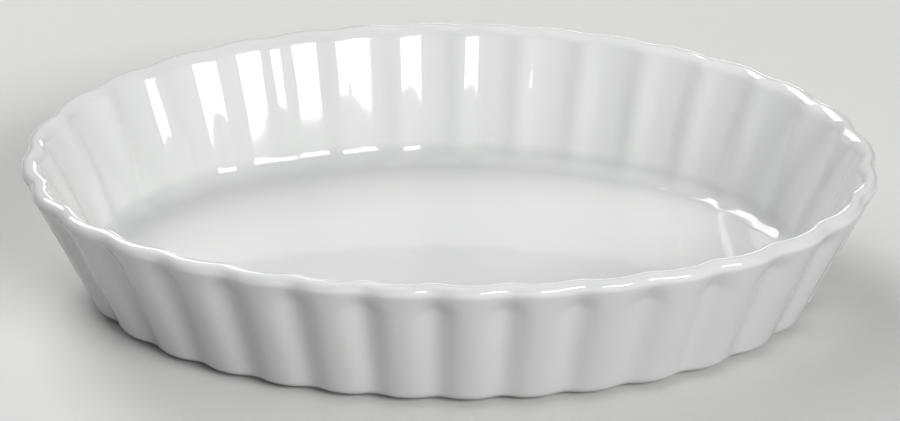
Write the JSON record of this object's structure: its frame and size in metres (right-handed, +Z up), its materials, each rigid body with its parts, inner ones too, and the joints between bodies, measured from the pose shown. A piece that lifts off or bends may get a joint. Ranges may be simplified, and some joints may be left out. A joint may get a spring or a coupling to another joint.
{
  "type": "creme brulee dish",
  "caption": "Shallow oval oven dish of white glazed porcelain with fluted, flaring walls, a rounded scalloped rim, a flat floor and a low foot ring.",
  "frame": {"origin": "centre of the dish on the table, at the flat of the foot ring", "axes": "+X along the long side of the oval, +Y along its short side, +Z up through the open top"},
  "size_m": [0.164, 0.1234, 0.03],
  "materials": {
    "glazed_porcelain": "white gloss glaze, foot ring unglazed"
  },
  "bodies": {
    "root": {"dish": "glazed_porcelain"}
  },
  "joints": []
}
